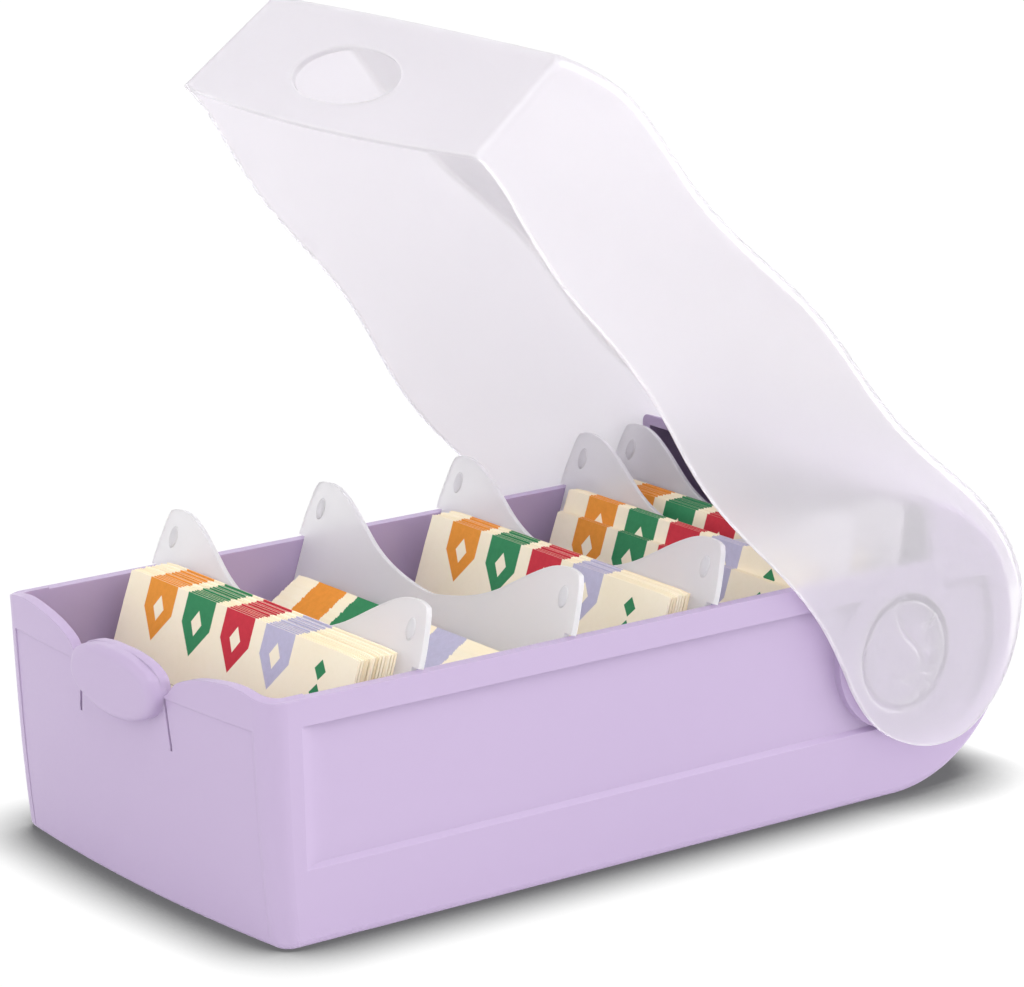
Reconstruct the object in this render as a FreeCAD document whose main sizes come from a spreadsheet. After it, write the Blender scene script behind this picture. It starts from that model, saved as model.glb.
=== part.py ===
import FreeCAD, Part
import math
import os
import Sketcher
from FreeCAD import Vector, Placement, Rotation

# Desk box for small index cards: an open tray with a sprung latch tongue,
# a wave-edged lid hinged on two hubs at the back, five leaning dividers and
# five packs of cards.  Millimetres, +Z up, X across, the latch at -Y and the
# hinge at +Y.  Every profile below is drawn with y = 0 at the front of the
# bottom; each piece's Placement moves it so that the origin is the middle of
# the flat bottom.

doc = FreeCAD.newDocument("card_box")
sheet = doc.addObject("Spreadsheet::Sheet", "sizes")

VALUES = [
    # tray
    ("base_mid", 70.5), ("wall", 2.0), ("floor_thick", 2.0),
    ("half_low", 43.03), ("half_rim", 43.47), ("half_inside", 41.3),
    ("rim_height", 45.2), ("front_low", 0.8), ("front_kick", -0.62),
    ("front_rim", -2.7), ("front_bow", 2.4), ("corner_low", 3.4), ("corner_rim", 4.9),
    ("cheek_front", 148.0),
    # hinge
    ("hub_y", 140.26), ("hub_z", 28.9), ("barrel_radius", 28.9), ("barrel_y", 141.0),
    ("boss_radius", 15.0), ("boss_face", 44.0), ("socket_depth", 1.8),
    ("hub_ring_radius", 11.3), ("hub_ring_bore", 10.0), ("hub_running_gap", 0.05),
    # recess on each side
    ("recess_floor", 42.3), ("recess_low", 14.2), ("recess_high", 40.2),
    ("recess_front", 5.3), ("recess_flat", 10.6), ("recess_rear_radius", 24.0),
    # faint step across the front
    ("step_high", 39.8), ("step_half", 39.0), ("step_depth", 0.22), ("step_least", 0.06),
    # latch
    ("tongue_half_top", 13.3), ("tongue_half_low", 14.5), ("slit_gap", 0.7),
    ("tongue_hinge_z", 31.0), ("knuckle_radius", 1.0), ("knuckle_gap", 0.05),
    ("pad_half_wide", 13.6), ("pad_half_tall", 6.2), ("pad_z", 39.4), ("pad_proud", 2.9),
    # lid
    ("lid_wall", 1.15), ("lid_angle", 46.0), ("lid_half_edge", 46.6),
    ("lid_half_roof_front", 44.1), ("lid_half_roof_rear", 44.9),
    ("lid_front_low", -5.65), ("lid_front_high", -2.9), ("lid_bow", 2.9),
    ("lid_low_z", 30.7), ("lid_high_z", 55.0), ("lid_arch", 3.9),
    ("hole_half_wide", 15.1), ("hole_half_tall", 6.85), ("hole_z", 39.4), ("lid_fillet", 2.0),
    # dividers
    ("lean", 18.0), ("divider_thick", 1.2), ("divider_half", 40.9),
    ("divider_base", 2.6), ("ear_half", 42.8), ("ear_seat", 45.8),
    ("divider_first", 32.65), ("divider_second", 66.1), ("divider_third", 98.75),
    ("divider_fourth", 129.6), ("divider_fifth", 141.85), ("divider_mark_z", 56.0),
    # cards
    ("card_half_wide", 37.0), ("card_base", 2.2),
]
for row, (name, value) in enumerate(VALUES, start=1):
    sheet.set("A%d" % row, name)
    sheet.set("B%d" % row, str(value))
    sheet.setAlias("B%d" % row, name)
doc.recompute()


def v(name):
    return float(getattr(sheet, name))


def shifted():
    return Placement(Vector(0, -v("base_mid"), 0), Rotation())


def spline(points, t0=None, t1=None):
    c = Part.BSplineCurve()
    pts = [Vector(*p) for p in points]
    if t0 is not None:
        c.interpolate(Points=pts, InitialTangent=Vector(*t0), FinalTangent=Vector(*t1))
    else:
        c.interpolate(pts)
    return c.toShape()


def yz(points, x=0.0):
    return [(x, y, z) for y, z in points]


def prism(edges, direction):
    face = Part.Face(Part.Wire(Part.__sortEdges__(edges)))
    return face.extrude(Vector(*direction))


def line(a, b):
    return Part.makeLine(Vector(*a), Vector(*b))


# ---------------------------------------------------------------- tray
def tray_front_at(z):
    """Corner line of the tray's leaning front at height z."""
    lo, kick, rim = v("front_low"), v("front_kick"), v("front_rim")
    h = v("rim_height")
    pts = [(-6.0, lo + 0.75), (0.0, lo), (12.0, kick), (h, rim), (62.0, rim - 1.05)]
    for (z0, y0), (z1, y1) in zip(pts, pts[1:]):
        if z <= z1:
            return y0 + (y1 - y0) * (z - z0) / (z1 - z0)
    return pts[-1][1]


def half_at(z):
    return v("half_low") + (v("half_rim") - v("half_low")) * z / v("rim_height")


def plan_wire(z, half, front, bow, back=200.0):
    a = Vector(-half, front, z)
    b = Vector(half, front, z)
    mid = Vector(0, front - bow, z)
    return Part.Wire([
        Part.Arc(a, mid, b).toShape(),
        Part.makeLine(b, Vector(half, back, z)),
        Part.makeLine(Vector(half, back, z), Vector(-half, back, z)),
        Part.makeLine(Vector(-half, back, z), a),
    ])


def plan_loft(offset, inside=None):
    """The tray's walls seen from above, lofted up its leaning front."""
    wires = []
    for z in (-6.0, 12.0, v("rim_height"), 62.0):
        half = inside if inside is not None else half_at(z) - offset
        wires.append(plan_wire(z, half, tray_front_at(z) + offset, v("front_bow")))
    return Part.makeLoft(wires, True, False)


def round_uprights(solid, low, high, front_limit):
    """Round the two upright front corners."""
    picked = []
    for e in solid.Edges:
        a, b = e.Vertexes[0].Point, e.Vertexes[-1].Point
        if abs(a.z - b.z) > 30 and max(a.y, b.y) < front_limit:
            picked.append(e)
    return solid.makeFillet(low, high, picked) if picked else solid


def barrel_point(radius, degrees):
    t = math.radians(degrees)
    return (v("barrel_y") + radius * math.cos(t), v("hub_z") + radius * math.sin(t))


def side_profile(inset, top, closed_top):
    """Side view of the tray: flat bottom, barrel round the hinge, cheek, rim."""
    r = v("barrel_radius") - inset
    hy, hz, cf = v("barrel_y"), v("hub_z"), v("cheek_front")
    end = math.degrees(math.acos((cf - hy) / r))
    x = -60.0
    bottom = hz - r
    p0 = (x, -40.0, bottom)
    p1 = (x, hy, bottom)
    mid = barrel_point(r, (end - 90.0) / 2.0)
    p2 = (x,) + barrel_point(r, end)
    arc = Part.Arc(Vector(*p1), Vector(x, *mid), Vector(*p2)).toShape()
    edges = [line(p0, p1), arc]
    if closed_top:
        p3 = (x, cf, v("rim_height"))
        p4 = (x, -40.0, v("rim_height"))
        edges += [line(p2, p3), line(p3, p4), line(p4, p0)]
    else:
        p3 = (x, cf, top)
        p4 = (x, -40.0, top)
        edges += [line(p2, p3), line(p3, p4), line(p4, p0)]
    return prism(edges, (120.0, 0, 0))


def front_rim_edges(y0):
    """Scalloped shoulders of the front wall, and the opening for the tongue."""
    slope = (v("tongue_half_low") - v("tongue_half_top")) / (40.0 - v("tongue_hinge_z"))
    edge = lambda z: v("tongue_half_top") + v("slit_gap") + (40.0 - z) * slope
    zh = v("tongue_hinge_z")
    h = v("rim_height")
    shoulder = [(edge(40.2), 40.2), (15.6, 41.3), (17.2, 42.9), (19.6, 44.2), (23.2, 45.35),
                (28.4, 46.25), (33.6, 46.7), (37.6, 46.35), (40.6, 45.65), (42.6, h)]
    return edge, zh, shoulder


def tray_solids():
    outer = plan_loft(0.0)
    outer = round_uprights(outer, v("corner_low"), v("corner_rim"), 30)
    h = v("rim_height")
    body = outer.common(side_profile(0.0, None, True))
    # the front wall may rise above the rim line: a low slab of the same walls
    crest = outer.common(Part.makeBox(120, 46, 4.0, Vector(-60, -40, h - 0.5)))
    return body, crest


def front_shape():
    """Tool that trims the crest of the front wall to its shoulders."""
    edge, zh, shoulder = front_rim_edges(0)
    h = v("rim_height")
    y0, y1 = -40.0, 60.0
    right = [(x, y0, z) for x, z in shoulder]
    left = [(-x, y0, z) for x, z in reversed(shoulder)]
    top = 80.0
    er = spline(right)
    el = spline(left)
    bottom_r = right[0]
    bottom_l = left[-1]
    edges = [
        er, el,
        line((42.6, y0, h), (60.0, y0, h)),
        line((60.0, y0, h), (60.0, y0, top)),
        line((60.0, y0, top), (-60.0, y0, top)),
        line((-60.0, y0, top), (-60.0, y0, h)),
        line((-60.0, y0, h), (-42.6, y0, h)),
        line(bottom_r, (edge(zh), y0, zh)),
        line((edge(zh), y0, zh), (-edge(zh), y0, zh)),
        line((-edge(zh), y0, zh), bottom_l),
    ]
    return prism(edges, (0, y1 - y0, 0))


def hinge_line_y():
    z = v("tongue_hinge_z")
    return tray_front_at(z) - v("front_bow") + 1.0 + 0.12


def recess(side):
    """Shallow recess of a side wall, with a soft front end and bevelled ledges."""
    fl, lo, hi = v("recess_floor"), v("recess_low"), v("recess_high")
    yf, yc = v("recess_front"), v("recess_flat")
    out = 46.0
    # plan section: floor, then a soft S-shaped rise towards the front
    rise = [(0.0, yc), (0.03, yf + 3.9), (0.16, yf + 2.4), (0.42, yf + 1.2), (0.80, yf + 0.1),
            (1.15, yf - 1.0), (1.32, yf - 1.9)]
    pts = [(fl + dx, y, 0.0) for dx, y in rise]
    end = pts[-1]
    plan = [
        spline(pts, (0, -1, 0), (0.2, -1, 0)),
        line(end, (out, end[1], 0)),
        line((out, end[1], 0), (out, 190.0, 0)),
        line((out, 190.0, 0), (fl, 190.0, 0)),
        line((fl, 190.0, 0), pts[0]),
    ]
    p = prism(plan, (0, 0, 70.0))
    # cross section: bevelled ledge below, nearly square lip above
    sec = [
        (fl, 0, lo + 0.75), (v("half_rim"), 0, lo - 0.35), (out, 0, lo - 0.35),
        (out, 0, hi + 0.1), (v("half_rim"), 0, hi + 0.1), (fl, 0, hi - 0.25),
    ]
    q = prism([line(sec[i], sec[(i + 1) % 6]) for i in range(6)], (0, 190.0, 0))
    # rear end: round about the hinge
    rr = v("recess_rear_radius")
    hy, hz = v("hub_y"), v("hub_z")
    disc = Part.makeCylinder(rr, 10.0, Vector(40.0, hy, hz), Vector(1, 0, 0))
    block = Part.makeBox(10.0, hy, 70.0, Vector(40.0, 0, 0))
    tool = p.common(q).common(disc.fuse(block))
    if side < 0:
        tool = tool.mirror(Vector(0, 0, 0), Vector(1, 0, 0))
    return tool


def front_step():
    """Sliver that sets the front wall back under a faint step line, fading out downwards."""
    hi, depth, least = v("step_high"), v("step_depth"), v("step_least")
    skin = plan_loft(0.0)
    start = -hi * least / (depth - least)
    tilt = math.degrees(math.atan(depth / (hi - start)))
    skin.rotate(Vector(0, tray_front_at(0.0) - 1.2, start), Vector(1, 0, 0), -tilt)
    half = v("step_half")
    block = Part.makeBox(2 * half, 24.0, hi + 3.0, Vector(-half, -20.0, -3.0))
    return block.cut(skin)


def safe_fillet(shape, radius, pick):
    """Fillet the edges that pick() accepts, all at once or one by one."""
    edges = [e for e in shape.Edges if pick(e)]
    if not edges:
        return shape
    try:
        out = shape.makeFillet(radius, edges)
        if out.isValid() and out.Volume > 0:
            return out
    except Exception:
        pass
    for n in range(len(edges)):
        found = [e for e in shape.Edges if pick(e)]
        if n >= len(found):
            break
        try:
            out = shape.makeFillet(radius, [found[n]])
            if out.isValid() and out.Volume > 0:
                shape = out
        except Exception:
            continue
    return shape


def mid(e):
    a, b = e.ParameterRange
    return e.valueAt((a + b) / 2.0)


def tray_walls():
    """The tray moulding with its latch tongue still joined on."""
    body, crest = tray_solids()
    block = body.fuse(crest)
    hy, hz = v("barrel_y"), v("hub_z")
    on_barrel = lambda p: abs(math.hypot(p.y - hy, p.z - hz) - v("barrel_radius")) < 0.05
    block = safe_fillet(
        block, 1.6,
        lambda e: on_barrel(mid(e)) and mid(e).y > hy + 2 and abs(abs(mid(e).x) - 43.3) < 0.6)
    block = safe_fillet(block, 0.8, lambda e: mid(e).z < 0.02 and mid(e).y < hy)
    inner = plan_loft(v("wall"), v("half_inside"))
    inner = round_uprights(inner, 2.6, 3.4, 30)
    inner = inner.common(side_profile(v("wall"), 90.0, False))
    shell = block.cut(inner)
    return shell


def tongue_region():
    """Upright prism that holds the tongue's outline within the front wall."""
    zt = v("tongue_hinge_z")
    ht, hl = v("tongue_half_top"), v("tongue_half_low")
    slope = (hl - ht) / (40.0 - zt)
    edge = lambda z: ht + (40.0 - z) * slope
    y0, y1 = -40.0, 8.0
    z0 = zt + 0.35
    top = [(edge(41.2), 41.2), (12.4, 43.3), (10.2, 44.6), (7.6, 45.35), (4.0, 45.85), (0.0, 46.0)]
    crown = [(x, y0, z) for x, z in top] + [(-x, y0, z) for x, z in reversed(top[:-1])]
    edges = [
        spline(crown),
        line(crown[-1], (-edge(z0), y0, z0)),
        line((-edge(z0), y0, z0), (edge(z0), y0, z0)),
        line((edge(z0), y0, z0), crown[0]),
    ]
    return prism(edges, (0, y1 - y0, 0))


def pad_solid():
    """Oval push pad, standing proud of the wall and following its bow."""
    face = plan_loft(0.0).copy()
    face.translate(Vector(0, -v("pad_proud"), 0))
    back = plan_loft(0.0).copy()
    back.translate(Vector(0, 0.9, 0))
    oval = Part.Ellipse(Vector(0, -40, v("pad_z")), v("pad_half_wide"), v("pad_half_tall"))
    e = oval.toShape()
    e.rotate(Vector(0, -40, v("pad_z")), Vector(1, 0, 0), 90)
    post = Part.Face(Part.Wire([e])).extrude(Vector(0, 46, 0))
    pad = post.common(face).cut(back)
    lip = [x for x in pad.Edges if mid(x).y < -6.0 and x.Length > 30]
    try:
        out = pad.makeFillet(1.3, lip)
        if out.isValid():
            pad = out
    except Exception:
        pass
    return pad


# ---------------------------------------------------------------- lid
# Drawn closed; its Placement swings it open about the hubs.
FREE_EDGE = [(-3.9, 30.85), (0.8, 30.7), (5.14, 30.1), (11.49, 28.75), (18.13, 27.6), (24.66, 26.7),
             (31.66, 26.35), (38.79, 26.3), (45.94, 26.1), (53.0, 25.45), (59.92, 24.25), (66.65, 22.65),
             (73.57, 21.2), (80.79, 20.3), (88.33, 20.1), (96.13, 20.4), (104.07, 20.75), (111.94, 20.65),
             (119.61, 19.8), (126.91, 18.05), (133.87, 15.8), (138.63, 14.75), (143.49, 14.4),
             (148.83, 15.2), (154.0, 17.2), (158.1, 19.8), (161.4, 23.0), (163.9, 26.9), (165.15, 31.1),
             (165.4, 35.8), (164.75, 40.85), (162.9, 46.3), (160.1, 51.0), (157.0, 55.0), (154.0, 58.3)]
ROOF = [(-10.0, 52.2), (-6.4, 53.75), (-2.92, 55.24), (1.95, 57.3), (7.3, 59.05), (13.6, 60.4), (21.3, 60.4),
        (29.5, 59.5), (38.2, 58.6), (47.5, 58.65), (60.0, 59.75), (72.8, 61.0), (85.6, 60.75), (97.5, 59.65),
        (111.3, 59.4), (122.8, 60.55), (132.0, 61.7), (140.5, 61.85), (147.6, 60.75), (154.0, 58.3)]


def lid_front_at(z):
    k = (v("lid_front_high") - v("lid_front_low")) / (v("lid_high_z") - v("lid_low_z"))
    return v("lid_front_low") + (z - v("lid_low_z")) * k


def lid_half_at(z, y):
    """Half width of the lid outside, drafted upwards and a little wider at the back."""
    t = min(max((y + 10.0) / 180.0, 0.0), 1.0)
    roof = v("lid_half_roof_front") + (v("lid_half_roof_rear") - v("lid_half_roof_front")) * t
    return v("lid_half_edge") + (roof - v("lid_half_edge")) * (z - 20.0) / 40.0


def lid_sides(inset):
    """Drafted sides, ruled from the front section to the rear one."""
    wires = []
    for y in (-10.0, 170.0):
        pts = []
        for z in (4.0, 66.0):
            pts.append(Vector(lid_half_at(z, y) - inset, y, z))
        a, b = pts
        c, d = Vector(-b.x, y, b.z), Vector(-a.x, y, a.z)
        wires.append(Part.makePolygon([a, b, c, d, a]))
    return Part.makeLoft(wires, True, True)


def lid_bowed(inset):
    """Everything behind the bowed, leaning front."""
    wires = []
    for z in (2.0, 70.0):
        f = lid_front_at(z) + inset
        half = 50.0
        r = (46.0 ** 2 + v("lid_bow") ** 2) / (2 * v("lid_bow"))
        extra = r - math.sqrt(r * r - half * half) - v("lid_bow")
        wires.append(plan_wire(z, half, f + extra, v("lid_bow") + extra))
    return Part.makeLoft(wires, True, True)


def roof_prism(inset):
    """Everything under the waved roof; the inner one also leaves out the roof's wall."""
    x = -60.0
    c = Part.BSplineCurve()
    c.interpolate([Vector(x, y, z) for y, z in ROOF])
    if inset:
        pts = []
        n = 60
        for i in range(n + 1):
            t = c.FirstParameter + (c.LastParameter - c.FirstParameter) * i / n
            p, d = c.value(t), c.tangent(t)[0]
            q = Vector(x, p.y + d.z * inset, p.z - d.y * inset)
            pts.append(q)
        first = pts[0] - (pts[1] - pts[0]).normalize() * 6.0
        last = pts[-1] + (pts[-1] - pts[-2]).normalize() * 14.0
        c = Part.BSplineCurve()
        c.interpolate([first] + pts + [last])
    else:
        first = c.value(c.FirstParameter)
        last = c.value(c.LastParameter)
    a = c.value(c.FirstParameter)
    b = c.value(c.LastParameter)
    if inset:
        edges = [c.toShape(), line(b, (x, 200.0, b.z)), line((x, 200.0, b.z), (x, 200.0, 0.0)),
                 line((x, 200.0, 0.0), (x, -40.0, 0.0)), line((x, -40.0, 0.0), (x, -40.0, a.z)),
                 line((x, -40.0, a.z), a)]
        return prism(edges, (120.0, 0, 0))
    lead = (x, -40.0, a.z - 7.0)
    edges = [c.toShape(), line(lead, a), line((x, -40.0, 0.0), lead)]
    edge = Part.BSplineCurve()
    edge.interpolate([Vector(x, y, z) for y, z in FREE_EDGE[20:]])
    e0 = edge.value(edge.FirstParameter)
    edges += [edge.toShape(), line(e0, (x, e0.y, 0.0)), line((x, e0.y, 0.0), (x, -40.0, 0.0))]
    return prism(edges, (120.0, 0, 0))


def edge_cutter():
    """Everything below the side walls' free edge, behind the front wall."""
    x = -60.0
    c = Part.BSplineCurve()
    c.interpolate([Vector(x, y, z) for y, z in FREE_EDGE[:21]])
    a, b = c.value(c.FirstParameter), c.value(c.LastParameter)
    edges = [c.toShape(), line(b, (x, b.y, -5.0)), line((x, b.y, -5.0), (x, a.y, -5.0)), line((x, a.y, -5.0), a)]
    return prism(edges, (120.0, 0, 0))


def arch_cutter():
    """Everything below the arched lower edge of the front wall."""
    y0 = -30.0
    z = FREE_EDGE[0][1]
    arch = Part.Arc(Vector(-46.4, y0, z), Vector(0, y0, z - v("lid_arch")), Vector(46.4, y0, z)).toShape()
    edges = [arch, line((46.4, y0, z), (60.0, y0, z)), line((60.0, y0, z), (60.0, y0, -5.0)),
             line((60.0, y0, -5.0), (-60.0, y0, -5.0)), line((-60.0, y0, -5.0), (-60.0, y0, z)),
             line((-60.0, y0, z), (-46.4, y0, z))]
    return prism(edges, (0, FREE_EDGE[0][0] - y0, 0))


def in_closed_frame(y, z):
    """A point seen with the lid open, turned back into the closed drawing."""
    t = math.radians(v("lid_angle"))
    dy, dz = y - v("hub_y"), z - v("hub_z")
    return (v("hub_y") + dy * math.cos(t) - dz * math.sin(t),
            v("hub_z") + dy * math.sin(t) + dz * math.cos(t))


def rib(points, x0, x1, width):
    """A thin rib on the inside of the hub, from a centre line seen from the side."""
    pts = [Vector(x0, y, z) for y, z in points]
    c = Part.BSplineCurve()
    c.interpolate(pts)
    left, right = [], []
    n = 24
    for i in range(n + 1):
        t = c.FirstParameter + (c.LastParameter - c.FirstParameter) * i / n
        p, d = c.value(t), c.tangent(t)[0]
        left.append(Vector(x0, p.y - d.z * width / 2, p.z + d.y * width / 2))
        right.append(Vector(x0, p.y + d.z * width / 2, p.z - d.y * width / 2))
    a, b = Part.BSplineCurve(), Part.BSplineCurve()
    a.interpolate(left)
    b.interpolate(right)
    edges = [a.toShape(), Part.makeLine(left[-1], right[-1]), b.toShape(), Part.makeLine(right[0], left[0])]
    return prism(edges, (x1 - x0, 0, 0))


HUB_CURL = [(139.3, 40.0), (138.6, 37.6), (139.0, 34.7), (140.3, 32.2), (142.6, 30.1), (144.0, 28.2),
            (144.5, 26.2), (143.9, 24.3), (142.2, 23.2), (140.2, 23.3)]
HUB_SPOKES = [((149.6, 28.9), (145.6, 28.7)), ((147.6, 35.2), (145.0, 32.9)), ((147.3, 23.9), (144.9, 24.6)),
              ((143.4, 20.6), (145.4, 19.2))]


def build_lid():
    t = v("lid_wall")
    outer = lid_sides(0.0).common(lid_bowed(0.0)).common(roof_prism(0.0))
    roof_edge = lambda e: (e.Length > 60 and mid(e).z > 55 and abs(mid(e).x) > 40)
    front_edge = lambda e: (mid(e).y < 0 and abs(mid(e).x) > 40
                            and abs(e.Vertexes[0].Point.z - e.Vertexes[-1].Point.z) > 20)
    brow_edge = lambda e: mid(e).y < -3 and 50 < mid(e).z < 60 and abs(mid(e).x) < 5 and e.Length > 60
    outer = outer.makeFillet(v("lid_fillet"), [e for e in outer.Edges if roof_edge(e) or front_edge(e) or brow_edge(e)])
    inner = lid_sides(t).common(lid_bowed(t)).common(roof_prism(t))
    inside_edge = lambda e: roof_edge(e) or (mid(e).y < 0 and abs(mid(e).x) > 40
                                             and abs(e.Vertexes[0].Point.z - e.Vertexes[-1].Point.z) > 20)
    try:
        soft = inner.makeFillet(v("lid_fillet") - v("lid_wall"), [e for e in inner.Edges if inside_edge(e)])
        if soft.isValid():
            inner = soft
    except Exception:
        pass
    shell = outer.cut(inner).cut(edge_cutter()).cut(arch_cutter())
    hole = Part.Ellipse(Vector(0, -40, v("hole_z")), v("hole_half_wide"), v("hole_half_tall")).toShape()
    hole.rotate(Vector(0, -40, v("hole_z")), Vector(1, 0, 0), 90)
    shell = shell.cut(Part.Face(Part.Wire([hole])).extrude(Vector(0, 46, 0)))
    hy, hz = v("hub_y"), v("hub_z")
    inner_end = v("boss_face") - v("socket_depth") + 0.6
    weld = 45.65
    for side in (1, -1):
        ring = Part.makeCylinder(v("hub_ring_radius"), weld - inner_end,
                                 Vector(side * inner_end, hy, hz), Vector(side, 0, 0))
        bore = Part.makeCylinder(v("hub_ring_bore"), weld - inner_end + 2,
                                 Vector(side * (inner_end - 1), hy, hz), Vector(side, 0, 0))
        shell = shell.fuse(ring.cut(bore))
        low = v("boss_face") + 0.15
        curl = rib([in_closed_frame(y, z) for y, z in HUB_CURL], low, 45.9, 0.9)
        parts = [curl]
        for a, b in HUB_SPOKES:
            a, b = in_closed_frame(*a), in_closed_frame(*b)
            m = ((a[0] + b[0]) / 2, (a[1] + b[1]) / 2)
            parts.append(rib([a, m, b], low, 45.9, 0.8))
        for p in parts:
            if side < 0:
                p = p.mirror(Vector(0, 0, 0), Vector(1, 0, 0))
            shell = shell.fuse(p)
    return shell.removeSplitter()


# ---------------------------------------------------------------- the document's objects
def feature(name, shape):
    f = doc.addObject("Part::Feature", name)
    f.Shape = shape
    return f


def bind(obj, **cells):
    for prop, expr in cells.items():
        obj.setExpression(prop.replace("_", "."), expr)


def cylinder_x(name, radius, length, x, y, z, side):
    """A cylinder along X whose sizes and place are read from the sheet."""
    c = doc.addObject("Part::Cylinder", name)
    c.Placement = Placement(Vector(0, 0, 0), Rotation(Vector(0, 1, 0), 90 * side))
    c.setExpression("Radius", radius)
    c.setExpression("Height", length)
    c.setExpression("Placement.Base.x", x)
    c.setExpression("Placement.Base.y", y)
    c.setExpression("Placement.Base.z", z)
    return c


parts = []

# tray
walls = feature("tray_walls", tray_walls().cut(front_shape()))
bosses, sockets = [], []
for side, tag in ((1, "right"), (-1, "left")):
    bosses.append(cylinder_x("boss_" + tag, "sizes.boss_radius", "sizes.boss_face - 41.6",
                             "%d * 41.6" % side, "sizes.hub_y", "sizes.hub_z", side))
    sockets.append(cylinder_x("socket_" + tag, "sizes.hub_ring_radius + sizes.hub_running_gap",
                              "sizes.socket_depth + 2",
                              "%d * (sizes.boss_face - sizes.socket_depth)" % side,
                              "sizes.hub_y", "sizes.hub_z", side))
recesses = [feature("recess_right", recess(1)), feature("recess_left", recess(-1)),
            feature("step", front_step())]
groove = cylinder_x("tongue_groove", "sizes.knuckle_radius + sizes.knuckle_gap",
                    "2 * (sizes.tongue_half_low + sizes.slit_gap)",
                    "-(sizes.tongue_half_low + sizes.slit_gap)", "0", "sizes.tongue_hinge_z", 1)
groove.setExpression("Placement.Base.y", str(hinge_line_y()))
doc.recompute()
cut1 = doc.addObject("Part::Cut", "walls_with_recesses")
tools = doc.addObject("Part::MultiFuse", "recess_tools")
tools.Shapes = recesses + [groove]
cut1.Base, cut1.Tool = walls, tools
doc.recompute()
joined = doc.addObject("Part::MultiFuse", "walls_with_bosses")
joined.Shapes = [cut1] + bosses
doc.recompute()
sock = doc.addObject("Part::MultiFuse", "socket_tools")
sock.Shapes = sockets
doc.recompute()
tray = doc.addObject("Part::Cut", "tray_solid")
tray.Base, tray.Tool = joined, sock
tray.Label = "tray"
doc.recompute()
tray.Placement = shifted()
parts.append(tray)

# latch tongue with its push pad
stock = plan_loft(0.0).cut(plan_loft(v("wall"), v("half_inside")))
plate = feature("tongue_plate", stock.common(tongue_region()))
pad = feature("push_pad", pad_solid())
knuckle = cylinder_x("tongue_knuckle", "sizes.knuckle_radius", "2 * sizes.tongue_half_low",
                     "-sizes.tongue_half_low", "0", "sizes.tongue_hinge_z", 1)
knuckle.setExpression("Placement.Base.y", str(hinge_line_y()))
doc.recompute()
tongue = doc.addObject("Part::MultiFuse", "tongue_solid")
tongue.Shapes = [plate, pad, knuckle]
tongue.Label = "latch_tongue"
doc.recompute()
tongue.Placement = shifted()
parts.append(tongue)

# lid, swung open about the hubs
lid = feature("lid_solid", build_lid())
lid.Label = "lid"
hub = Vector(0, v("hub_y"), v("hub_z"))
swing = Placement(Vector(0, 0, 0), Rotation(Vector(1, 0, 0), -v("lid_angle")), hub)
lid.Placement = shifted().multiply(swing)
parts.append(lid)


def body_sketch(name, plane, offset=None):
    body = doc.addObject("PartDesign::Body", name)
    sk = body.newObject("Sketcher::SketchObject", name + "_sketch")
    for o in body.Origin.OriginFeatures:
        if o.Role == plane:
            sk.AttachmentSupport = [(o, "")]
    sk.MapMode = "FlatFace"
    doc.recompute()
    return body, sk


DIP = [(0.0, 44.2), (5.2, 44.75), (10.4, 45.75), (15.3, 47.15), (19.7, 49.0), (23.3, 51.0), (26.8, 53.0),
       (30.2, 54.75), (33.1, 55.95), (36.0, 56.6), (38.7, 56.6), (40.7, 56.0)]
EAR = [(41.25, 55.0), (41.75, 53.2), (42.3, 50.4), (42.7, 47.6)]


def divider(name, cell):
    """Two-eared plate: its body drops between the walls, its ears sit on the rim."""
    body, sk = body_sketch(name, "XZ_Plane")
    lean = math.radians(v("lean"))
    up = lambda z: (z - v("divider_base")) / math.cos(lean)
    w, e, seat = v("divider_half"), v("ear_half"), up(v("ear_seat"))
    P = lambda x, z: Vector(x, z, 0)
    top = [P(e, seat)] + [P(x, up(z)) for x, z in reversed(EAR)]
    right = [P(e, seat)] + [P(x, up(z)) for x, z in reversed(EAR)] + [P(40.7, up(56.0))]
    dip = [P(x, up(z)) for x, z in reversed(DIP)] + [P(-x, up(z)) for x, z in DIP[1:]]
    left = [P(-p.x, p.y) for p in reversed(right)]
    ids = []
    ids.append(sk.addGeometry(Part.LineSegment(P(-w, 0), P(w, 0)), False))          # 0 foot
    ids.append(sk.addGeometry(Part.LineSegment(P(w, 0), P(w, seat)), False))        # 1 side
    ids.append(sk.addGeometry(Part.LineSegment(P(w, seat), P(e, seat)), False))     # 2 seat
    for pts in (right, dip, left):
        c = Part.BSplineCurve()
        c.interpolate(pts)
        ids.append(sk.addGeometry(c, False))                                         # 3 4 5
    ids.append(sk.addGeometry(Part.LineSegment(P(-e, seat), P(-w, seat)), False))   # 6 seat
    ids.append(sk.addGeometry(Part.LineSegment(P(-w, seat), P(-w, 0)), False))      # 7 side
    C = Sketcher.Constraint
    sk.addConstraint(C("Horizontal", 0))
    sk.addConstraint(C("DistanceX", 0, 1, 0, 2, 2 * w))
    foot = sk.ConstraintCount - 1
    sk.setExpression("Constraints[%d]" % foot, "2 * sizes.divider_half")
    pad = body.newObject("PartDesign::Pad", name + "_plate")
    pad.Profile = sk
    pad.setExpression("Length", "sizes.divider_thick")
    pad.Reversed = True
    doc.recompute()
    if body.Shape.BoundBox.YMax < 0.5 * v("divider_thick"):
        pad.Reversed = False
        doc.recompute()
    body.Label = name
    y0 = v(cell) - math.tan(lean) * 0 - (v("divider_mark_z") - v("divider_base")) * math.tan(lean)
    body.Placement = Placement(Vector(0, y0 - v("base_mid"), v("divider_base")),
                               Rotation(Vector(1, 0, 0), -v("lean")))
    return body


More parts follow.
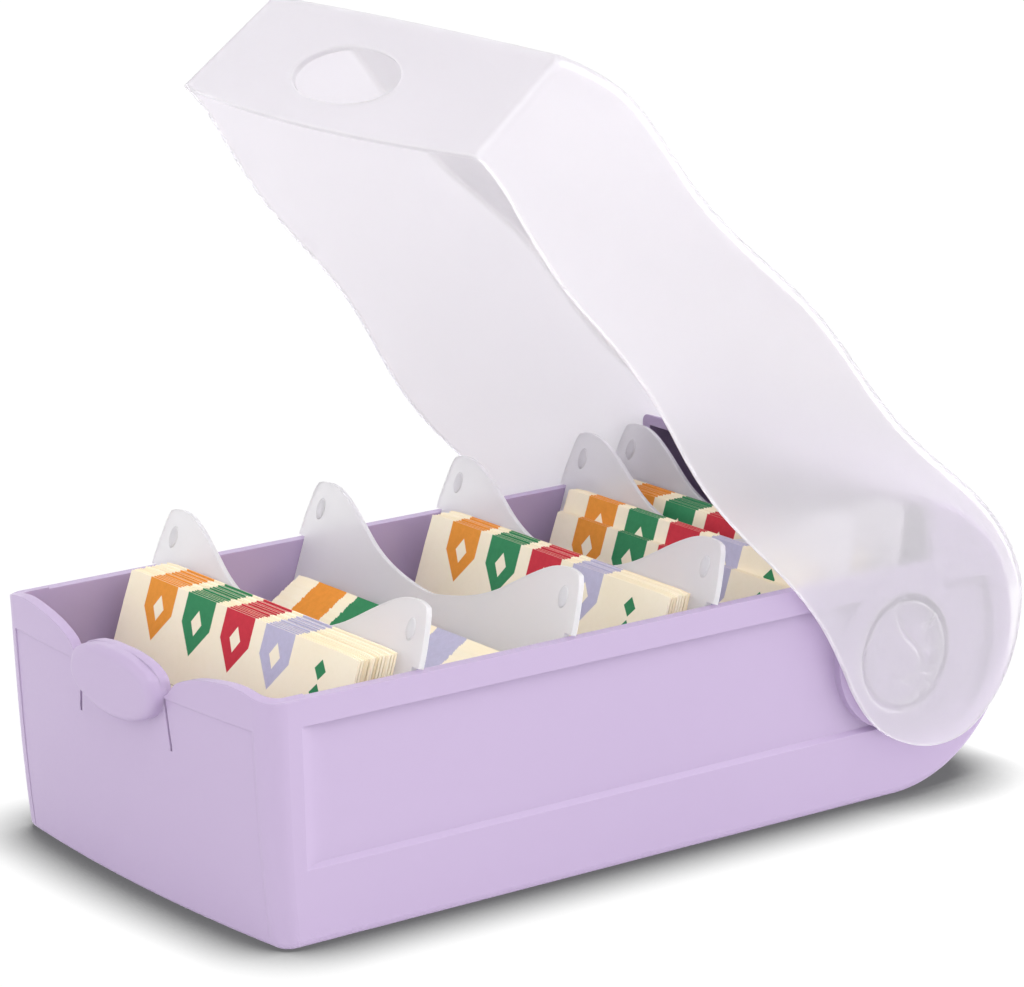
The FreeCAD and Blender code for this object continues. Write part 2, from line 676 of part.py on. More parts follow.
for name, cell in (("divider_1", "divider_first"), ("divider_2", "divider_second"), ("divider_3", "divider_third"),
                   ("divider_4", "divider_fourth"), ("divider_5", "divider_fifth")):
    parts.append(divider(name, cell))


def card_bundle(name, corners):
    """Cards standing side by side, seen from the side: (y, z) of the four corners."""
    body, sk = body_sketch(name, "YZ_Plane")
    pts = [Vector(y, z, 0) for y, z in corners]
    for a, b in zip(pts, pts[1:] + pts[:1]):
        sk.addGeometry(Part.LineSegment(a, b), False)
    C = Sketcher.Constraint
    for i in range(4):
        sk.addConstraint(C("Coincident", i, 2, (i + 1) % 4, 1))
    for i, (y, z) in enumerate(corners):
        sk.addConstraint(C("DistanceX", -1, 1, i, 1, y))
        sk.addConstraint(C("DistanceY", -1, 1, i, 1, z))
        if abs(z - v("card_base")) < 1e-6:
            sk.setExpression("Constraints[%d]" % (sk.ConstraintCount - 1), "sizes.card_base")
    pad = body.newObject("PartDesign::Pad", name + "_stack")
    pad.Profile = sk
    pad.SideType = "Symmetric"
    pad.setExpression("Length", "2 * sizes.card_half_wide")
    doc.recompute()
    body.Label = name
    body.Placement = shifted()
    return body


def leaning(front, back, top_front, top_back=None):
    """Corners of a bundle that leans with the dividers, between two planes."""
    t = math.radians(v("lean"))
    at = lambda d, z: (d + z * math.sin(t)) / math.cos(t)
    zb = v("card_base")
    top_back = top_front if top_back is None else top_back
    return [(at(front, zb), zb), (at(back, zb), zb), (at(back, top_back), top_back), (at(front, top_front), top_front)]


BUNDLES = [
    ("cards_1_front", leaning(5.42, 5.92, 47.7)),
    ("cards_1_stack", leaning(5.97, 13.35, 47.5)),
    ("cards_2_front", [(17.6, 2.2), (23.4, 2.2), (55.2, 37.6), (51.8, 35.5)]),
    ("cards_2_stack", [(23.5, 2.2), (29.6, 2.2), (59.0, 39.9), (55.4, 37.75)]),
    ("cards_3_front", leaning(71.35, 71.85, 46.9)),
    ("cards_3_stack", leaning(71.9, 76.3, 46.6)),
    ("cards_4_front", leaning(102.0, 103.3, 42.4)),
    ("cards_4_stack", leaning(103.35, 105.65, 46.5)),
    ("cards_5_front", leaning(112.0, 112.5, 46.8)),
    ("cards_5_stack", leaning(112.55, 117.3, 46.6)),
]
for name, corners in BUNDLES:
    parts.append(card_bundle(name, corners))

doc.recompute()

# ---------------------------------------------------------------- checks and files
for obj in doc.Objects:
    if "Invalid" in obj.State or "Error" in obj.State:
        raise RuntimeError("%s is %s" % (obj.Name, obj.State))
os.makedirs("parts", exist_ok=True)
for obj in parts:
    shape = obj.Shape
    if shape.isNull() or not shape.isValid():
        raise RuntimeError("%s has no valid shape" % obj.Label)
    box = shape.optimalBoundingBox() if hasattr(shape, "optimalBoundingBox") else shape.BoundBox
    print("%-15s solids %d  volume %9.1f  x %.2f %.2f  y %.2f %.2f  z %.2f %.2f" % (
        obj.Label, len(shape.Solids), shape.Volume, box.XMin, box.XMax, box.YMin, box.YMax, box.ZMin, box.ZMax))
    shape.exportStep("parts/%s.step" % obj.Label)
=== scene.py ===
import math
import random

import bmesh
import bpy
import numpy as np
from mathutils import Matrix, Vector
from mathutils.bvhtree import BVHTree


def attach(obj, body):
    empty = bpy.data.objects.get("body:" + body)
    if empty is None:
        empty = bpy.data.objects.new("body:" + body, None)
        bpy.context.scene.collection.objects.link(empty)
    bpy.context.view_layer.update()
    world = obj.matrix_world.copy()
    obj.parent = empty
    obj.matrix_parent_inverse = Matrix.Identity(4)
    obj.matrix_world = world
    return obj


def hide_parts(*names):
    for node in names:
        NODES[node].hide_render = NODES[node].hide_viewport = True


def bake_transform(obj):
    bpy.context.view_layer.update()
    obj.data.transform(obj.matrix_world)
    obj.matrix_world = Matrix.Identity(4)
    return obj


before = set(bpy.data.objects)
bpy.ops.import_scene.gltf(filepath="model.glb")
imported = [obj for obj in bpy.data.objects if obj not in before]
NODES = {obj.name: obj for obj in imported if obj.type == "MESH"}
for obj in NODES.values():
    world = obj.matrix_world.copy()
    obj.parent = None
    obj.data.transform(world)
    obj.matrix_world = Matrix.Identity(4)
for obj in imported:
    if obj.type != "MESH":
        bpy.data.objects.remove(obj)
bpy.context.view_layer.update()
MM = 0.001
BASE_MID = 70.5            # the part's own y of the middle of the bottom, mm

# ---------------------------------------------------------------- camera
W, H = 1024.0, 987.0
AZ, EL, ROLL = math.radians(53.04), math.radians(14.84), math.radians(-0.13)
FOCAL_PX, TX, TY, DIST = 4445.83, -65.30, -70.59, 797.67

back = Vector((math.sin(AZ) * math.cos(EL), -math.cos(AZ) * math.cos(EL), math.sin(EL)))
right = (-back).cross(Vector((0, 0, 1))).normalized()
up = right.cross(-back)
right2 = right * math.cos(ROLL) + up * math.sin(ROLL)
up2 = right * -math.sin(ROLL) + up * math.cos(ROLL)
pos = back * DIST - right2 * TX - up2 * TY - Vector((0, BASE_MID, 0))
cam_data = bpy.data.cameras.new("camera")
cam = bpy.data.objects.new("camera", cam_data)
bpy.context.scene.collection.objects.link(cam)
turn = Matrix((right2, up2, back)).transposed()
cam.matrix_world = Matrix.Translation(pos * MM) @ turn.to_4x4()
cam_data.sensor_fit = "HORIZONTAL"
cam_data.sensor_width = 36.0
cam_data.lens = FOCAL_PX / W * 36.0
cam_data.clip_start, cam_data.clip_end = 0.05, 20.0
bpy.context.scene.camera = cam


# ---------------------------------------------------------------- node helpers
class Graph:
    """Short forms for building a material's nodes."""

    def __init__(self, name):
        self.mat = bpy.data.materials.new(name)
        self.mat.use_nodes = True
        self.tree = self.mat.node_tree
        self.tree.nodes.clear()
        self.out = self.tree.nodes.new("ShaderNodeOutputMaterial")

    def new(self, kind, **values):
        n = self.tree.nodes.new(kind)
        for k, val in values.items():
            setattr(n, k, val)
        return n

    def put(self, socket, value):
        if isinstance(value, bpy.types.NodeSocket):
            self.tree.links.new(value, socket)
        elif value is not None:
            if hasattr(socket.default_value, "__len__") and not hasattr(value, "__len__"):
                value = (value,) * len(socket.default_value)
            if hasattr(value, "__len__") and len(socket.default_value) == 4 and len(value) == 3:
                value = (*value, 1.0)
            socket.default_value = value

    def math(self, op, a, b=None, c=None, clamp=False):
        n = self.new("ShaderNodeMath", operation=op, use_clamp=clamp)
        for s, val in zip(n.inputs, (a, b, c)):
            self.put(s, val)
        return n.outputs[0]

    def mix(self, fac, a, b, mode="MIX"):
        n = self.new("ShaderNodeMix", data_type="RGBA", blend_type=mode)
        self.put(n.inputs[0], fac)
        self.put(n.inputs[6], a)
        self.put(n.inputs[7], b)
        return n.outputs[2]

    def coords(self, which="Object"):
        return self.new("ShaderNodeTexCoord").outputs[which]

    def noise(self, vector, scale, detail=3.0, rough=0.55, lac=2.0, out="Fac"):
        n = self.new("ShaderNodeTexNoise")
        self.put(n.inputs["Vector"], vector)
        n.inputs["Scale"].default_value = scale
        n.inputs["Detail"].default_value = detail
        n.inputs["Roughness"].default_value = rough
        n.inputs["Lacunarity"].default_value = lac
        return n.outputs[out]

    def ramp(self, fac, stops, mode="LINEAR"):
        n = self.new("ShaderNodeValToRGB")
        n.color_ramp.interpolation = mode
        while len(n.color_ramp.elements) < len(stops):
            n.color_ramp.elements.new(0.5)
        for e, (p, col) in zip(n.color_ramp.elements, stops):
            e.position = p
            e.color = (*col, 1.0) if len(col) == 3 else col
        self.put(n.inputs[0], fac)
        return n.outputs[0]

    def span(self, value, a, b, c=0.0, d=1.0, smooth=False):
        n = self.new("ShaderNodeMapRange", clamp=True)
        n.interpolation_type = "SMOOTHSTEP" if smooth else "LINEAR"
        for s, val in zip(n.inputs, (value, a, b, c, d)):
            self.put(s, val)
        return n.outputs[0]

    def bump(self, height, strength, distance, normal=None):
        n = self.new("ShaderNodeBump")
        n.inputs["Strength"].default_value = strength
        n.inputs["Distance"].default_value = distance
        self.put(n.inputs["Height"], height)
        if normal is not None:
            self.put(n.inputs["Normal"], normal)
        return n.outputs[0]

    def shader(self, **sockets):
        n = self.new("ShaderNodeBsdfPrincipled")
        for k, val in sockets.items():
            self.put(n.inputs[k.replace("_", " ")], val)
        self.tree.links.new(n.outputs[0], self.out.inputs[0])
        return n


def srgb(r, g, b):
    lin = lambda c: c / 12.92 if c <= 0.04045 else ((c + 0.055) / 1.055) ** 2.4
    return tuple(lin(x / 255.0) for x in (r, g, b))


# ---------------------------------------------------------------- materials
# the third colour is the painted highlight laid along the tray's edges
TRAY_LIGHT, TRAY_DARK, TRAY_EDGE_HIGHLIGHT = (0.460, 0.366, 0.540), (0.448, 0.355, 0.529), (0.60, 0.50, 0.67)


def tray_material():
    g = Graph("lilac_plastic")
    p = g.coords()
    cloud = g.noise(p, 9.0, 2.0)
    fine = g.noise(p, 5200.0, 2.0, 0.6)
    grain = g.noise(p, 1500.0, 3.0, 0.6)
    edge_highlight_breakup = g.noise(p, 260.0, 4.0, 0.65)
    col = g.mix(g.span(cloud, 0.35, 0.65), TRAY_DARK, TRAY_LIGHT)
    # where an edge turns, the moulding is rounded, and a paler colour is laid along it as a painted highlight, broken
    # up by noise
    soft = g.new("ShaderNodeBevel", samples=6)
    soft.inputs["Radius"].default_value = 0.00022
    flat = g.new("ShaderNodeNewGeometry").outputs["Normal"]
    dot = g.new("ShaderNodeVectorMath", operation="DOT_PRODUCT")
    g.put(dot.inputs[0], soft.outputs[0])
    g.put(dot.inputs[1], flat)
    turn = g.span(dot.outputs["Value"], 0.995, 0.86)
    painted_edge_highlight = g.math("MULTIPLY", turn, g.span(edge_highlight_breakup, 0.3, 0.7, 0.45, 0.9))
    col = g.mix(g.math("MULTIPLY", painted_edge_highlight, 0.45), col, TRAY_EDGE_HIGHLIGHT)
    rough = g.span(grain, 0.3, 0.7, 0.32, 0.42)
    n1 = g.bump(fine, 0.06, 0.00005, soft.outputs[0])
    g.shader(Base_Color=col, Roughness=rough, Normal=n1, IOR=1.48, Specular_IOR_Level=0.5,
             Subsurface_Weight=0.10, Subsurface_Scale=0.0012, Subsurface_Radius=(1.0, 0.85, 1.0))
    return g.mat


def frosted(name, tint, clear, edge_clear, rough_low, rough_high, radius, depth):
    """Milky see-through plastic: partly clear, partly white, and brighter along its edges, where a painted highlight
    colour is laid on and the plastic is made less clear.
    """
    g = Graph(name)
    p = g.coords()
    cloud = g.noise(p, 14.0, 2.0)
    fine = g.noise(p, 2600.0, 2.0, 0.6)
    mist = g.noise(p, 170.0, 3.0, 0.6)
    # tint holds two random tones and the colour of the painted highlight along edges
    light, dark, rim = tint
    col = g.mix(g.span(cloud, 0.35, 0.68), dark, light)
    clearness, smooth = clear, None
    if radius:
        soft = g.new("ShaderNodeBevel", samples=6)
        soft.inputs["Radius"].default_value = radius
        smooth = soft.outputs[0]
        dot = g.new("ShaderNodeVectorMath", operation="DOT_PRODUCT")
        g.put(dot.inputs[0], smooth)
        g.put(dot.inputs[1], g.new("ShaderNodeNewGeometry").outputs["Normal"])
        # painted highlight: along edges found by the bevel normal the colour turns to the rim tint and the plastic is
        # less clear
        turn = g.span(dot.outputs["Value"], 0.97, 0.80)
        col = g.mix(turn, col, rim)
        clearness = g.span(turn, 0.0, 1.0, clear, edge_clear)
    rough = g.span(mist, 0.3, 0.7, rough_low, rough_high)
    n1 = g.bump(fine, 0.05, 0.00004, smooth)
    body = g.shader(Base_Color=col, Roughness=rough, Normal=n1, IOR=1.46, Transmission_Weight=clearness,
                    Specular_IOR_Level=0.5, Subsurface_Weight=0.50 if depth else 0.0, Subsurface_Scale=depth,
                    Subsurface_Radius=(1.0, 1.0, 1.0))
    # the milky wall throws only a pale shadow
    film = g.new("ShaderNodeBsdfTransparent")
    film.inputs["Color"].default_value = (0.84, 0.82, 0.86, 1.0)
    both = g.new("ShaderNodeMixShader")
    g.tree.links.new(g.new("ShaderNodeLightPath").outputs["Is Shadow Ray"], both.inputs[0])
    g.tree.links.new(body.outputs[0], both.inputs[1])
    g.tree.links.new(film.outputs[0], both.inputs[2])
    g.tree.links.new(both.outputs[0], g.out.inputs[0])
    return g.mat


TRAY = tray_material()
# the third tint of each is the painted highlight colour along its edges
LID = frosted("frosted_lid", ((0.888, 0.868, 0.900), (0.874, 0.854, 0.886), (1.0, 0.985, 1.0)), 0.72, 0.28, 0.29, 0.34, 0.0008, 0.003)
DIVIDER = frosted("frosted_divider", ((0.855, 0.850, 0.862), (0.840, 0.835, 0.846), (0.97, 0.96, 0.97)), 0.56, 0.20, 0.32, 0.42, 0.0004, 0.0)


def card_material():
    """Cream card stock. UVMap holds the place on the card's face in centimetres from its upper left corner."""
    g = Graph("card_stock")
    uv = g.new("ShaderNodeUVMap", uv_map="UVMap").outputs[0]
    sep = g.new("ShaderNodeSeparateXYZ")
    g.put(sep.inputs[0], uv)
    u, w = sep.outputs[0], sep.outputs[1]          # w runs down the card
    p = g.coords()
    own = g.new("ShaderNodeAttribute", attribute_name="own").outputs["Fac"]
    rim = g.new("ShaderNodeAttribute", attribute_name="rim").outputs["Fac"]
    fibre = g.noise(p, 900.0, 4.0, 0.7)
    cloud = g.noise(p, 60.0, 3.0)
    paper = g.mix(g.span(cloud, 0.3, 0.7), srgb(250, 239, 212), srgb(253, 244, 221))
    paper = g.mix(g.math("MULTIPLY", g.span(own, 0.0, 1.0), 0.22), paper, srgb(243, 227, 190))
    paper = g.mix(g.math("MULTIPLY", g.span(fibre, 0.45, 0.8), 0.07), paper, srgb(216, 196, 150))
    edge_tone = g.mix(own, srgb(254, 245, 222), srgb(236, 217, 178))
    paper = g.mix(rim, paper, edge_tone)
    ragged = g.math("MULTIPLY", g.math("SUBTRACT", g.noise(p, 1400.0, 3.0), 0.5), 0.012)
    col = paper
    # tabs that hang from the card's upper edge, square above and pointed below, each with a pale diamond
    for at, half, side, drop, tone in (
        (1.15, 0.46, 0.56, 1.12, srgb(226, 146, 52)),
        (2.42, 0.46, 0.56, 1.12, srgb(48, 132, 86)),
        (3.69, 0.46, 0.56, 1.12, srgb(196, 46, 62)),
        (4.96, 0.46, 0.56, 1.12, srgb(184, 181, 206)),
    ):
        away = g.math("ABSOLUTE", g.math("SUBTRACT", g.math("ADD", u, ragged), at))
        d1 = g.math("SUBTRACT", half, away)
        d2 = g.math("MULTIPLY", g.math("SUBTRACT", g.math("SUBTRACT", drop, w), g.math("MULTIPLY", away, (drop - side) / half)), 0.64)
        inside = g.span(g.math("MINIMUM", d1, d2), -0.006, 0.008)
        gem = g.math("ADD", g.math("DIVIDE", away, 0.17), g.math("DIVIDE", g.math("ABSOLUTE", g.math("SUBTRACT", w, 0.50)), 0.24))
        inside = g.math("MULTIPLY", inside, g.span(gem, 0.97, 1.03))
        ink = g.mix(g.span(fibre, 0.35, 0.8), tone, tuple(min(1.0, c * 1.12 + 0.01) for c in tone))
        ink = g.mix(g.math("MULTIPLY", rim, 0.45), ink, edge_tone)
        col = g.mix(inside, col, ink)
    # two small diamonds towards the other upper corner
    for at, low in ((6.35, 0.42), (6.35, 0.86)):
        gem = g.math("ADD", g.math("DIVIDE", g.math("ABSOLUTE", g.math("SUBTRACT", u, at)), 0.17),
                     g.math("DIVIDE", g.math("ABSOLUTE", g.math("SUBTRACT", w, low)), 0.19))
        ink = g.mix(g.math("MULTIPLY", rim, 0.45), srgb(48, 132, 86), edge_tone)
        col = g.mix(g.span(gem, 1.03, 0.97), col, ink)
    # a thin ruled line across the face
    line = g.span(g.math("ABSOLUTE", g.math("SUBTRACT", w, 1.72)), 0.006, 0.014, 1.0, 0.0)
    col = g.mix(g.math("MULTIPLY", line, 0.55), col, srgb(120, 104, 92))
    rough = g.span(fibre, 0.2, 0.8, 0.62, 0.78)
    g.shader(Base_Color=col, Roughness=rough, Normal=g.bump(fibre, 0.25, 0.00005), IOR=1.45,
             Specular_IOR_Level=0.3, Subsurface_Weight=0.05, Subsurface_Scale=0.0004)
    return g.mat


CARD = card_material()

for name, mat in (("tray", TRAY), ("latch_tongue", TRAY), ("lid", LID)):
    ob = NODES[name]
    ob.data.materials.clear()
    ob.data.materials.append(mat)
for i in range(1, 6):
    ob = NODES["divider_%d" % i]
    ob.data.materials.clear()
    ob.data.materials.append(DIVIDER)


# ---------------------------------------------------------------- mesh helpers
def make(name, verts, faces, mat, smooth=True):
    me = bpy.data.meshes.new(name)
    me.from_pydata([tuple(c * MM for c in v) for v in verts], [], faces)
    me.materials.append(mat)
    me.update()
    ob = bpy.data.objects.new(name, me)
    bpy.context.scene.collection.objects.link(ob)
    if smooth:
        me.shade_smooth()
    return ob


# ---------------------------------------------------------------- cards
LEAN = math.radians(18.0)
CS, SN = math.cos(LEAN), math.sin(LEAN)


def card_row(name, body, nodes, cards, half=36.9, slots=("card",)):
    """A row of single cards. cards: (bottom y, bottom z, top y, top z, thickness, shift x, twist) each, seen from the side."""
    verts, faces, uvs, own, rim = [], [], [], [], []
    rnd = random.Random(name)
    for yb, zb, yt, zt, thick, dx, twist in cards:
        tone = rnd.random()
        length = math.hypot(yt - yb, zt - zb)
        ty, tz = (yt - yb) / length, (zt - zb) / length      # up the card
        ny, nz = tz, -ty                                     # out of its back
        nx_, nz_ = 25, 9
        r = 0.7
        base = len(verts)
        # outline with small corner radii, then a grid inside it, gently waved
        cols = [0.0] + [i / (nx_ - 1) for i in range(1, nx_ - 1)] + [1.0]
        rows = [i / (nz_ - 1) for i in range(nz_)]
        wave = rnd.uniform(-0.10, 0.10)
        sag = rnd.uniform(-0.05, 0.05)
        for side in (0, 1):
            for j, b in enumerate(rows):
                for i, a in enumerate(cols):
                    x = -half + 2 * half * a
                    zz = length * b
                    # pull the four corners in to round them
                    if (i in (0, nx_ - 1)) and (j in (0, nz_ - 1)):
                        x *= (half - r * 0.3) / half
                        zz += r * 0.3 if j == 0 else -r * 0.3
                    bow = wave * (1 - (2 * a - 1) ** 2) * b + sag * b * b
                    off = (0.0 if side == 0 else thick) + bow
                    y = yb + ty * zz + ny * off
                    z = zb + tz * zz + nz * off
                    xx = x + dx + twist * (zz / length - 0.5)
                    verts.append((xx, y - BASE_MID, z + twist * 0.5 * (x / half)))
        n = nx_ * nz_
        at = lambda side, i, j: base + side * n + j * nx_ + i

        def face(q, edge, places):
            faces.append(q)
            uvs.extend(places)
            own.append(tone)
            rim.append(1.0 if edge else 0.0)

        def place(i, j):
            return ((cols[i]) * 2 * half / 10.0, (1 - rows[j]) * length / 10.0)

        for j in range(nz_ - 1):
            for i in range(nx_ - 1):
                q = [(i, j), (i + 1, j), (i + 1, j + 1), (i, j + 1)]
                face([at(0, *c) for c in q], False, [place(*c) for c in q])
                q2 = q[::-1]
                face([at(1, *c) for c in q2], False, [place(*c) for c in q2])
        for i in range(nx_ - 1):
            for j, flip in ((0, False), (nz_ - 1, True)):
                q = [(1, i, j), (1, i + 1, j), (0, i + 1, j), (0, i, j)]
                q = q[::-1] if flip else q
                face([at(*c) for c in q], True, [place(c[1], c[2]) for c in q])
        for j in range(nz_ - 1):
            for i, flip in ((0, True), (nx_ - 1, False)):
                q = [(1, i, j), (1, i, j + 1), (0, i, j + 1), (0, i, j)]
                q = q if flip else q[::-1]
                face([at(*c) for c in q[::-1]] if False else [at(*c) for c in q], True,
                     [place(c[1], c[2]) for c in q])
    ob = make(name, verts, faces, CARD, smooth=False)
    me = ob.data
    layer = me.uv_layers.new(name="UVMap")
    layer.data.foreach_set("uv", np.array(uvs, np.float32).ravel())
    for key, values in (("own", own), ("rim", rim)):
        att = me.attributes.new(key, "FLOAT", "FACE")
        att.data.foreach_set("value", np.array(values, np.float32))
    bm = bmesh.new()
    bm.from_mesh(me)
    bmesh.ops.recalc_face_normals(bm, faces=bm.faces)
    bm.to_mesh(me)
    bm.free()
    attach(ob, body)
    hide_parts(*nodes)
    return ob


def leaning_cards(front, back, top, count, thick, seed, spread=0.16, base=2.3):
    """Cards between two leaning planes, at distances front to back from the origin."""
    rnd = random.Random(seed)
    out = []
    pitch = (back - front - thick) / max(count - 1, 1)
    for k in range(count):
        d = front + pitch * k + (rnd.uniform(-0.04, 0.04) if 0 < k < count - 1 else 0.0)
        lift = rnd.uniform(-spread, spread * 0.35)
        zt = top + lift
        at = lambda z: (d + z * SN) / CS
        out.append((at(base), base, at(zt), zt, thick, rnd.uniform(-0.25, 0.12) if k else -0.05, rnd.uniform(-0.05, 0.05)))
    return out


card_row("index_cards_1", "pack_1", ["cards_1_front", "cards_1_stack"],
         leaning_cards(5.45, 13.3, 47.55, 13, 0.46, 11))
steep = []
rnd2 = random.Random(22)
for k in range(18):
    t = k / 17.0
    yb = 17.75 + (29.2 - 17.75) * t
    yt = 51.6 + (58.6 - 51.6) * t
    zt = 35.3 + (39.9 - 35.3) * t + rnd2.uniform(-0.08, 0.03)
    steep.append((yb, 2.35, yt, zt, 0.30, rnd2.uniform(-0.22, 0.08), 0.0))
card_row("index_cards_2", "pack_2", ["cards_2_front", "cards_2_stack"], steep)
card_row("index_cards_3", "pack_3", ["cards_3_front", "cards_3_stack"],
         leaning_cards(71.38, 76.25, 46.75, 8, 0.46, 33))
card_row("index_cards_4", "pack_4", ["cards_4_front", "cards_4_stack"],
         leaning_cards(102.02, 103.27, 42.35, 3, 0.34, 44, 0.1) + leaning_cards(103.4, 105.6, 46.4, 4, 0.46, 45, 0.12))
card_row("index_cards_5", "pack_5", ["cards_5_front", "cards_5_stack"],
         leaning_cards(112.05, 117.25, 46.7, 8, 0.46, 55))


# ---------------------------------------------------------------- divider edges
def rounded_rim(ob, width):
    """The plate's cut edges are rounded over, as they come out of the mould."""
    weld = ob.modifiers.new("weld", "WELD")
    weld.merge_threshold = 0.000002
    bevel = ob.modifiers.new("round", "BEVEL")
    bevel.width = width
    bevel.segments = 3
    bevel.limit_method = "ANGLE"
    bevel.angle_limit = math.radians(40.0)
    bevel.harden_normals = False
    even = ob.modifiers.new("even", "WEIGHTED_NORMAL")
    even.keep_sharp = True


for i in range(1, 6):
    rounded_rim(NODES["divider_%d" % i], 0.00038)


def ejector_marks(i, cell):
    """Two small oval pips low on a divider's ears, as the mould leaves them."""
    tan18 = math.tan(LEAN)
    verts, faces = [], []
    for x0, z0 in ((38.0, 51.6), (-38.0, 51.6)):
        base = len(verts)
        y0 = cell - (56.0 - z0) * tan18 - BASE_MID
        shape = [(1.0, -0.10), (1.0, 0.01), (0.90, 0.05), (0.78, 0.07), (0.62, 0.06), (0.40, 0.045), (0.18, 0.04)]
        count = 40
        for r, high in shape:
            for k in range(count):
                t = 2 * math.pi * k / count
                a, b = 1.25 * r * math.cos(t), 2.1 * r * math.sin(t)
                verts.append((x0 + a, y0 + b * SN - high * CS, z0 + b * CS + high * SN))
        for q in range(len(shape) - 1):
            for k in range(count):
                m = (k + 1) % count
                faces.append((base + q * count + k, base + q * count + m, base + (q + 1) * count + m, base + (q + 1) * count + k))
        faces.append(tuple(base + (len(shape) - 1) * count + k for k in range(count)))
        faces.append(tuple(base + k for k in range(count))[::-1])
    ob = make("divider_%d_pips" % i, verts, faces, DIVIDER)
    bm = bmesh.new()
    bm.from_mesh(ob.data)
    bmesh.ops.recalc_face_normals(bm, faces=bm.faces)
    bm.to_mesh(ob.data)
    bm.free()
    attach(ob, "divider_%d" % i)


for i, cell in ((1, 32.65), (2, 66.1), (3, 98.75), (4, 129.6), (5, 141.85)):
    ejector_marks(i, cell)


# ---------------------------------------------------------------- latch tongue
def front_line(z):
    pts = [(-6.0, 1.55), (0.0, 0.8), (12.0, -0.62), (45.2, -2.7), (62.0, -3.75)]
    for (z0, y0), (z1, y1) in zip(pts, pts[1:]):
        if z <= z1:
            return y0 + (y1 - y0) * (z - z0) / (z1 - z0)
    return pts[-1][1]


def skin(x, z):
    """Outer surface of the bowed front wall, as it lies in the CAD mesh."""
    half = 43.03 + 0.44 * z / 45.2
    r = (half * half + 2.4 * 2.4) / 4.8
    y = front_line(z) - 2.4 + r - math.sqrt(r * r - x * x)
    if GAPS:
        y += float(np.interp(z, [g[0] for g in GAPS], [g[1] for g in GAPS]))
    return y


GAPS = []


def wall_gaps():
    """How far the CAD wall stands from the drawn surface, up the wall beside and below the tongue."""
    ob = NODES["tray"]
    tree = BVHTree.FromPolygons([v.co.copy() for v in ob.data.vertices], [list(f.vertices) for f in ob.data.polygons])
    out = []
    for z, places in ((27.0, (0.0, 8.0, -8.0)), (29.5, (0.0, 8.0, -8.0)), (30.6, (0.0, 8.0, -8.0)),
                      (32.0, (18.0, -18.0)), (34.0, (18.0, -18.0)), (36.5, (18.0, -18.0)), (39.0, (18.0, -18.0))):
        found = []
        for x in places:
            hit = tree.ray_cast(Vector((x * MM, -0.2, z * MM)), Vector((0, 1, 0)))[0]
            if hit is not None:
                found.append(hit.y / MM + BASE_MID - skin(x, z))
        out.append((z, sum(found) / len(found)))
    return out


GAPS = wall_gaps()


def baked(ob):
    """Apply the object's modifiers to its mesh."""
    deps = bpy.context.evaluated_depsgraph_get()
    me = bpy.data.meshes.new_from_object(ob.evaluated_get(deps))
    ob.modifiers.clear()
    old = ob.data
    ob.data = me
    bpy.data.meshes.remove(old)
    return ob


